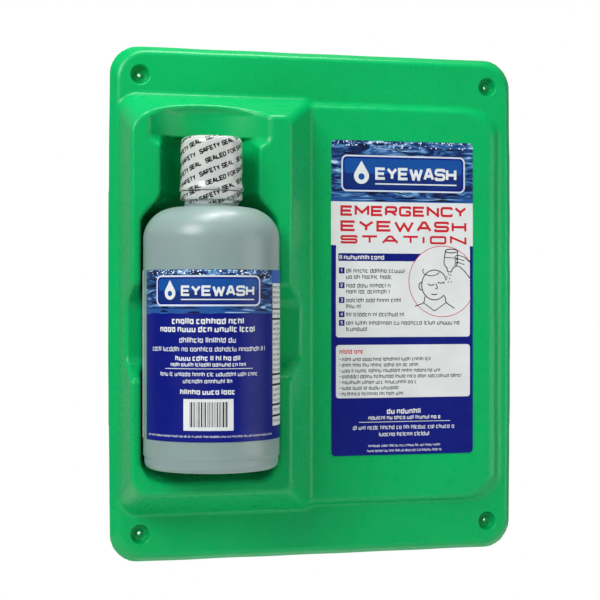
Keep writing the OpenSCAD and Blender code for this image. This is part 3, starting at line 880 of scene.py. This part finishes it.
def rinse_picture(flat, cx, cy):
    """Plain pictogram of water poured over an eye from a bottle."""
    def line(points, width=0.7, soft=1.6):
        flat.stroke(rounded([(cx + px, cy + py) for px, py in points], soft), width, "black")

    def curve(x, y, rx, ry, start, end, width=0.7):
        angles = np.radians(np.linspace(start, end, 20))
        flat.stroke([(cx + x + rx * math.cos(a), cy + y + ry * math.sin(a)) for a in angles], width, "black")

    curve(-6.0, -2.5, 9.5, 10.5, 20, 200)
    curve(-6.0, -2.5, 9.5, 10.5, 200, 318)
    curve(-15.6, -3.4, 1.9, 2.6, 80, 280)
    curve(-8.6, 7.2, 6.2, 3.2, 150, 350, 0.6)
    curve(-8.5, -1.2, 2.5, 1.5, 200, 340)
    curve(-1.2, 0.3, 2.5, 1.5, 200, 340)
    curve(-6.2, -8.2, 2.6, 1.1, 215, 325)
    line([(-4.8, -1.6), (-3.7, -4.9), (-5.4, -5.3)])
    line([(-13.0, -10.6), (-13.8, -15.2), (-20.5, -17.5)])
    line([(1.6, -10.0), (2.6, -15.0), (9.0, -19.0)])
    line([(-13.8, -15.2), (-6.0, -21.0), (2.6, -15.0)], 0.6)
    # bottle, tipped over the eye
    line([(2.2, 21.8), (1.0, 12.2), (3.6, 9.2), (3.9, 6.9)])
    line([(11.4, 21.0), (11.2, 11.8), (7.4, 9.0), (6.7, 6.7)])
    curve(6.8, 21.5, 4.6, 1.3, 0, 180)
    curve(6.8, 21.5, 4.6, 1.3, 180, 360)
    line([(3.9, 6.9), (6.7, 6.7)])
    line([(1.5, 17.0), (11.3, 16.4)], 0.55)
    # hand round the bottle
    for y in (18.2, 15.6, 13.0):
        line([(16.5, y - 1.0), (11.6, y + 0.5), (9.2, y - 0.5), (9.6, y - 2.0), (13.0, y - 2.4)], 0.6, 1.0)
    line([(16.5, 17.2), (21.5, 13.0), (24.4, 8.0)])
    line([(13.0, 10.4), (16.5, 7.4), (21.0, 2.0)])
    for x, y in ((4.6, 5.0), (6.2, 4.2), (3.4, 2.9), (5.4, 1.9),
                 (2.4, 1.0), (4.2, -0.4), (6.3, -0.6), (1.2, -1.2)):
        x, y = cx + x, cy + y
        flat.polygon([(x, y + 1.1), (x + 0.45, y), (x, y - 0.5), (x - 0.45, y)], "black")


def sign_print(width, height):
    """Instruction label: origin at its upper left corner, y up."""
    flat = Print(round_box(0, -height, width, 0, 3.0, 6), "navy", 11)
    flat.box(0, -42.7, width, 1, "water")
    streaks(flat, 0.3, width - 0.3, -41, -2.5, 46)
    flat.box(0.2, -42.7, width - 0.2, -39.4, "water_mid")
    streaks(flat, 0.3, width - 0.3, -42.4, -39.6, 12)
    foam(flat, 0, width, 0, 120, 4.5)
    badge(flat, 7.4, -35.6, 98.6, -10.2, "EYEWASH")
    flat.box(0, -73.0, width, -42.7, "white")
    flat.write("EMERGENCY", 6.7, -52.7, 93.1, 7.3, 1.75, "red")
    flat.write("EYEWASH", 6.7, -63.4, 93.1, 7.6, 1.75, "red")
    flat.write("STATION", 6.7, -71.9, 93.1, 5.9, 1.55, "red")
    flat.box(3.5, -137.0, 102.4, -74.0, "white", 2.0)
    flat.box(3.6, -76.0, 102.3, -72.9, "white")
    flat.box(5.2, -84.0, 65.4, -78.6, "navy")
    flat.greek(6.4, -82.6, 33, 2.9, "white", 0.22)
    circle = (81.8, -98.0)
    flat.disc(*circle, 25.2, "red")
    flat.disc(*circle, 24.7, "white")
    rinse_picture(flat, *circle)
    flat.box(102.4, -130, width + 2, -73.0, "navy")
    steps = ((90.6, 43.9, 33.4), (100.9, 32.6, 32.6), (111.1, 41, 11), (121.0, 43, 0), (126.9, 83.6, 15.4))
    for n, (v, first, second) in enumerate(steps):
        flat.box(5.6, -v - 2.05, 9.7, -v + 2.05, "navy")
        flat.write(str(n + 1), 6.9, -v - 1.2, 1.6, 2.4, 0.42, "white")
        flat.greek(11.1, -v - 1.35, first, 2.9, "black", 0.17)
        if second:
            flat.greek(11.1, -v - 5.55, second, 2.9, "black", 0.17)
    flat.box(3.5, -179.3, 102.4, -142.3, "white", 2.2)
    flat.greek(6.2, -148.2, 18.3, 3.0, "red", 0.2)
    for n, length in enumerate((68.7, 58.2, 74.6, 90.7, 57.8, 43.3, 47.2)):
        v = 152.2 + 4.0 * n
        flat.disc(6.4, -v, 0.42, "black", steps=10)
        flat.greek(8.0, -v - 1.15, length - 2, 2.5, "black", 0.18)
    middle = 53.8
    centred_rows(flat, middle, ((-190.3, 25.6, 3.4, 0.24), (-194.3, 53, 2.6, 0.2)))
    flat.box(middle - 33.7, -196.4, middle + 33.7, -196.0, "white")
    centred_rows(flat, middle, ((-201.2, 75.5, 2.8, 0.16), (-206.0, 37.5, 2.8, 0.18),
                                (-213.5, 53.3, 1.7, 0.15), (-217.0, 55, 1.7, 0.15)))
    return flat


def barcode(flat, x0, y0, x1, y1):
    """Bars of random width that stand for no number."""
    flat.box(x0, y0, x1, y1, "white")
    here = x0 + 4.2
    while here < x1 - 4.4:
        wide = flat.random.choice((0.3, 0.3, 0.45, 0.7, 0.95))
        flat.box(here, y0 + 2.2, here + wide, y1 - 1.9, "black")
        here += wide + flat.random.choice((0.3, 0.35, 0.5, 0.8))


def wrap_print(r, start, angle, low, high):
    """Label round the bottle: x is the length along it from the front, y the height in the tray."""
    def along(degrees):
        return math.radians(degrees) * r

    left, right = along(start), along(start + angle)
    flat = Print([(left, low), (right, low), (right, high), (left, high)], "navy", 23)
    header = -5.7
    panel = along(48.3)
    flat.box(left - 1, header, right + 1, high + 1, "water")
    streaks(flat, left + 0.2, right - 0.2, header + 3.2, high - 3, 110)
    flat.box(left + 0.1, header + 0.2, right - 0.1, header + 3.0, "water_mid")
    streaks(flat, left + 0.2, right - 0.2, header + 0.5, header + 2.8, 30)
    foam(flat, left, right, high, 300, 4.5)
    badge(flat, along(-62.6), -1.1, along(31.9), 18.4, "EYEWASH")
    middle = along(-14.3)
    rows = ((-10.1, 47.8, 3.6, 0.24), (-15.2, 67.3, 3.5, 0.24), (-22.1, 37.3, 3.3, 0.17),
            (-27.8, 83.6, 3.0, 0.15), (-33.5, 43.0, 3.0, 0.24), (-37.6, 50.3, 2.3, 0.22),
            (-43.6, 67.7, 2.6, 0.17), (-48.0, 32.5, 2.6, 0.17), (-54.7, 36.0, 3.1, 0.24))
    centred_rows(flat, middle, [(y - size / 2, width, size, weight) for y, width, size, weight in rows])
    flat.box(middle - 29.9, -40.6, middle + 29.9, -40.2, "white")
    barcode(flat, middle - 16.1, -79.3, middle + 16.1, -59.4)
    centred_rows(flat, middle + 1, [(-83.5, 96, 1.3, 0.14)])
    facts(flat, panel, along(112), high)
    facts_low = along(122)
    badge(flat, facts_low, -1.1, facts_low + 74, 18.4, "EYEWASH")
    centred_rows(flat, facts_low + 37, [(-12 - 6.2 * n, 70 - 6 * (n % 3), 2.4, 0.16) for n in range(11)])
    return flat


def facts(flat, x0, x1, high):
    """White table of small print that runs round the bottle's right side."""
    flat.box(x0, -90, x1 + 3, high + 2, "navy")
    flat.box(x0, 13.6, x1 + 3, high + 2, "strip")
    flat.box(x0 + 0.2, -78.4, x1, 13.6, "black")
    cells = ((13.6, -2.5), (-3.5, -8.7), (-10.1, -44.4), (-45.8, -51),
             (-52.5, -63.9), (-65.3, -71), (-72.4, -78.1))
    for top, low in cells:
        flat.box(x0 + 0.7, low, x1 - 0.5, top, "white")
        y = top - 3.2
        while y > low + 0.3:
            flat.greek(x0 + 1.5, y, x1 - x0 - 3 - flat.random.random() * 12, 1.9, "black", 0.16)
            y -= 3.3


def sleeve_print(around, low, high):
    """Rows of everyday phrases that climb round the film. They lie at the same heights on both films."""
    flat = Print([(0, low), (around, low), (around, high), (0, high)], "sleeve", 5)
    turn, row_h, letter_h = 21.0, 7.3, 3.3
    slope = math.tan(math.radians(turn))
    phrases = (("SAFETY SEAL", 24.0), ("SEALED FOR SAFETY", 37.0))
    for n in range(-9, 10):
        x, k = -14.0 + 4.0 * (n % 2), n % 2
        while x < around + 2:
            y = 62.0 + row_h * n + slope * x
            words, length = phrases[k]
            if y + slope * length + 5 > low and y < high:
                width = length / math.cos(math.radians(turn))
                flat.write(words, x, y, width, letter_h, 0.86, "black", turn)
            x += length + 2.6
            k = 1 - k
    return flat


# ---------------------------------------------------------------- films in their places

LABEL_GAP = 0.03
WRAP_R, WRAP_T = 44.9, 0.25
WRAP_START, WRAP_ANGLE = -80.0, 345.0
FILM_T = 0.33
SLEEVE_R, BAND_R, EDGE_R = 20.3, 21.3, 4.2


def on_panel(x, y, depth):
    """Place of the sign's film, just clear of the panel's ripple."""
    x, y = sign_low[0] + x, sign_high[1] + y
    lift = np.where(depth > 0, 0, SIGN_T) + (LABEL_GAP - ripple(x, y))
    return np.stack([x, y, PANEL_Q + lift], axis=1)


def make_sign():
    lines = guides(np.arange(3, SIGN_W, 4.5), (-300, 10), -np.arange(4, SIGN_H, 4.5), (-5, SIGN_W + 5))
    return film("sign", sign_print(SIGN_W, SIGN_H), lines, on_panel, SIGN_T)


def round_bottle(x, y, depth):
    """Place of the bottle's label, where x is the length round it from the front."""
    a = x / WRAP_R
    r = WRAP_R - depth + 0.03 * np.sin(y / 7) * np.sin(a * 9)
    return np.stack([AXIS_X + r * np.sin(a), y, AXIS_Q + r * np.cos(a)], axis=1)


def make_wrap():
    ends = [math.radians(angle) * WRAP_R for angle in (WRAP_START, WRAP_START + WRAP_ANGLE)]
    flat = wrap_print(WRAP_R, WRAP_START, WRAP_ANGLE, wrap_low[1], wrap_high[1])
    return film("bottle_wrap", flat, guides(np.linspace(*ends, 150)[1:-1], (-95, 30)), round_bottle, WRAP_T)


def sleeve_profile():
    """(r, y) of the film's outside up the cap, over its edge and in over the top."""
    top = SLEEVE_TOP
    points = [(BAND_R - 0.25, CAP_LOW + 0.02), (BAND_R, CAP_LOW + 0.4), (BAND_R, CAP_LOW + 2.3),
              (BAND_R - 0.3, CAP_LOW + 2.9), (SLEEVE_R + 0.15, CAP_LOW + 4.3), (SLEEVE_R, CAP_LOW + 5.0)]
    points += [(SLEEVE_R, y) for y in np.arange(CAP_LOW + 6.5, top - EDGE_R - 0.5, 1.5)]
    points += arc(SLEEVE_R - EDGE_R, top - EDGE_R, EDGE_R, 0, 90, 7)
    return points + [(r, top) for r in (14, 12, 10.2, 8.3)]


def collar_profile():
    """(r, y) of the film's outside up the neck and over its bead."""
    return [(17.95, collar_low[1] + 0.05), (17.95, 66.9), (18.3, 67.4), (20.1, 67.9), (20.35, 68.4),
            (20.35, 70.6), (20.3, 72.3), (20.4, collar_high[1])]


def up_profile(profile):
    """Length up a profile at each of its points, counted from its lowest height."""
    steps = [0] + [math.dist(a, b) for a, b in zip(profile, profile[1:])]
    return profile[0][1] + np.cumsum(steps)


def creased(a, y, top):
    """Small folds of shrunk film, fading out at its upper edge."""
    low_crease = 0.22 * np.exp(-((y - 75.2) / 0.8) ** 2) * np.sin(5 * a + 1) ** 2
    puckers = 0.10 * np.sin(23 * a + 0.5 * y) * np.exp(-((y - 68) / 4) ** 2)
    drift = 0.07 * np.sin(3 * a + y / 3.1) + 0.05 * np.sin(7 * a - y / 2.3)
    rough_edge = 0.12 * np.sin(31 * a + 2 * np.sin(5 * a)) * np.exp(-((y - top + 5.5) / 2.2) ** 2)
    return -low_crease + puckers + drift + rough_edge - 0.1


def make_shrink_film(name, profile):
    """Printed film shrunk on a profile: x is the length round it and y the length up the profile."""
    length = up_profile(profile)
    r_points, y_points = (np.array(v) for v in zip(*profile))
    girth = SLEEVE_R * (math.tau - 0.006)

    def place(x, y, depth):
        a = x / SLEEVE_R + math.pi
        slope_r = np.interp(y + 0.05, length, r_points) - np.interp(y - 0.05, length, r_points)
        slope_y = np.interp(y + 0.05, length, y_points) - np.interp(y - 0.05, length, y_points)
        size = np.maximum(np.hypot(slope_r, slope_y), 1e-6)
        out = creased(a, y, length[-1]) - depth
        r = np.interp(y, length, r_points) + out * slope_y / size
        up = np.interp(y, length, y_points) - out * slope_r / size
        return np.stack([AXIS_X + r * np.sin(a), up, AXIS_Q + r * np.cos(a)], axis=1)

    lines = guides(np.linspace(0, girth, 121)[1:-1], (40, 160), length[1:-1], (-2, girth + 2))
    return film(name, sleeve_print(girth, length[0], length[-1]), lines, place, FILM_T)


# ---------------------------------------------------------------- assembly

def piece(obj, body, replaced):
    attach(obj, body)
    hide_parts(replaced)


tray = make_tray()
field_normals(tray, sheet_front)
paint(tray, tray_material())
piece(tray, "tray_body", "tray")

bottle = make_bottle()
smooth(bottle, 35)
paint(bottle, plastic("milky_bottle", srgb(134, 156, 153), srgb(141, 162, 158), 0.34, 12,
                      IOR=1.5, Subsurface_Weight=0.35, Subsurface_Scale=0.004, Transmission_Weight=0.15))
piece(bottle, "bottle_body", "bottle")

water_print = water_material()
sign = make_sign()
paint(sign, sign_film_material("printed_sign_film", 0.42, 0.0004), water_print)
piece(sign, "tray_body", "instruction_label")

wrap = make_wrap()
paint(wrap, sign_film_material("printed_wrap_film", 0.40, 0.0003), water_print)
piece(wrap, "bottle_body", "bottle_label")

shrink = sleeve_material()
for name, profile, body, node in (("shrink_sleeve", sleeve_profile(), "cap_body", "tamper_sleeve"),
                                  ("shrink_collar", collar_profile(), "bottle_body", "tamper_collar")):
    shrunk = make_shrink_film(name, profile)
    paint(shrunk, shrink)
    piece(shrunk, body, node)

for node, made in (
        ("cap", plastic("white_cap", srgb(232, 235, 236), srgb(240, 242, 242), 0.36)),
        ("cap_liner", plastic("white_foam", srgb(234, 234, 226), srgb(242, 242, 236), 0.8, 200, 0.0002)),
        ("spout_insert", plastic("white_spout", srgb(228, 232, 236), srgb(238, 240, 242), 0.3)),
        ("eyewash_solution", plastic("clear_solution", srgb(214, 232, 234), srgb(222, 238, 240), 0.08,
                                     IOR=1.333, Transmission_Weight=0.8))):
    paint(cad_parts[node], made)


# ---------------------------------------------------------------- stage, light and camera

FLOOR_Z, FLOOR_R = -0.5, 1.5
AMBIENT, MIRRORED, BEHIND = 0.40, 0.04, 0.30
LENS, SENSOR_W = 94.2, 36
CAMERA_AT = (-0.2948, -1.0572, 0.0028)
# the camera looks level along this (x, y)
LOOK = (0.25882, 0.96593)
# name, place, aim, size in metres, power in watts
LAMPS = (
    ("key_upper_left", (-1.25, -1.15, 1.0), (0, 0, 0), (0.9, 0.9), 31),
    ("fill_right", (2.0, -1.15, -0.4), (0, 0, 0), (1.6, 1.6), 21),
    ("top_strip", (-0.05, -0.08, 0.9), (-0.08, -0.05, 0), (0.8, 0.22), 8),
)


def make_floor():
    ring = [(FLOOR_R * math.cos(a), FLOOR_R * math.sin(a), FLOOR_Z)
            for a in np.linspace(0, math.tau, 96, endpoint=False)]
    mesh = bpy.data.meshes.new("floor")
    mesh.from_pydata(ring, [], [list(range(len(ring)))])
    floor = add_object("floor", mesh)
    made, n = material("pale_floor", Roughness=0.7)
    n.link(n.blend(n.noise(3, 2).outputs["Fac"], (0.80, 0.80, 0.79, 1), (0.84, 0.84, 0.83, 1)),
           n.shader.inputs["Base Color"])
    paint(floor, made)


def area_light(name, place, target, size, power):
    data = bpy.data.lights.new(name, "AREA")
    data.shape = "RECTANGLE"
    data.size, data.size_y = size
    data.energy = power
    light = add_object(name, data)
    light.location = place
    light.rotation_euler = (Vector(target) - Vector(place)).to_track_quat("-Z", "Y").to_euler()


def make_world():
    """White all round to look at. It gives soft ambient light, and reflections see it dim in front."""
    world = bpy.data.worlds.new("studio")
    bpy.context.scene.world = world
    world.use_nodes = True
    tree = world.node_tree
    add, link = tree.nodes.new, tree.links.new
    coords, split, ramp = add("ShaderNodeTexCoord"), add("ShaderNodeSeparateXYZ"), add("ShaderNodeMapRange")
    path, bright, front = add("ShaderNodeLightPath"), add("ShaderNodeMath"), add("ShaderNodeMapRange")
    bright.operation = "MAXIMUM"
    link(coords.outputs["Generated"], split.inputs[0])
    link(split.outputs["Y"], ramp.inputs["Value"])
    for name, value in (("From Min", 0.35), ("From Max", 0.85), ("To Max", BEHIND)):
        ramp.inputs[name].default_value = value
    front.inputs["To Min"].default_value, front.inputs["To Max"].default_value = AMBIENT, MIRRORED
    link(path.outputs["Is Glossy Ray"], front.inputs["Value"])
    link(front.outputs["Result"], ramp.inputs["To Min"])
    link(ramp.outputs["Result"], bright.inputs[0])
    link(path.outputs["Is Camera Ray"], bright.inputs[1])
    link(bright.outputs[0], tree.nodes["Background"].inputs["Strength"])
    tree.nodes["Background"].inputs["Color"].default_value = (1, 1, 1, 1)


def make_camera():
    data = bpy.data.cameras.new("camera")
    data.lens, data.sensor_width = LENS, SENSOR_W
    camera = add_object("camera", data)
    camera.location = CAMERA_AT
    camera.rotation_euler = (math.radians(90), 0, -math.atan2(*LOOK))
    bpy.context.scene.camera = camera


make_floor()
make_world()
for lamp in LAMPS:
    area_light(*lamp)
make_camera()
bpy.context.scene.view_settings.view_transform = "Standard"
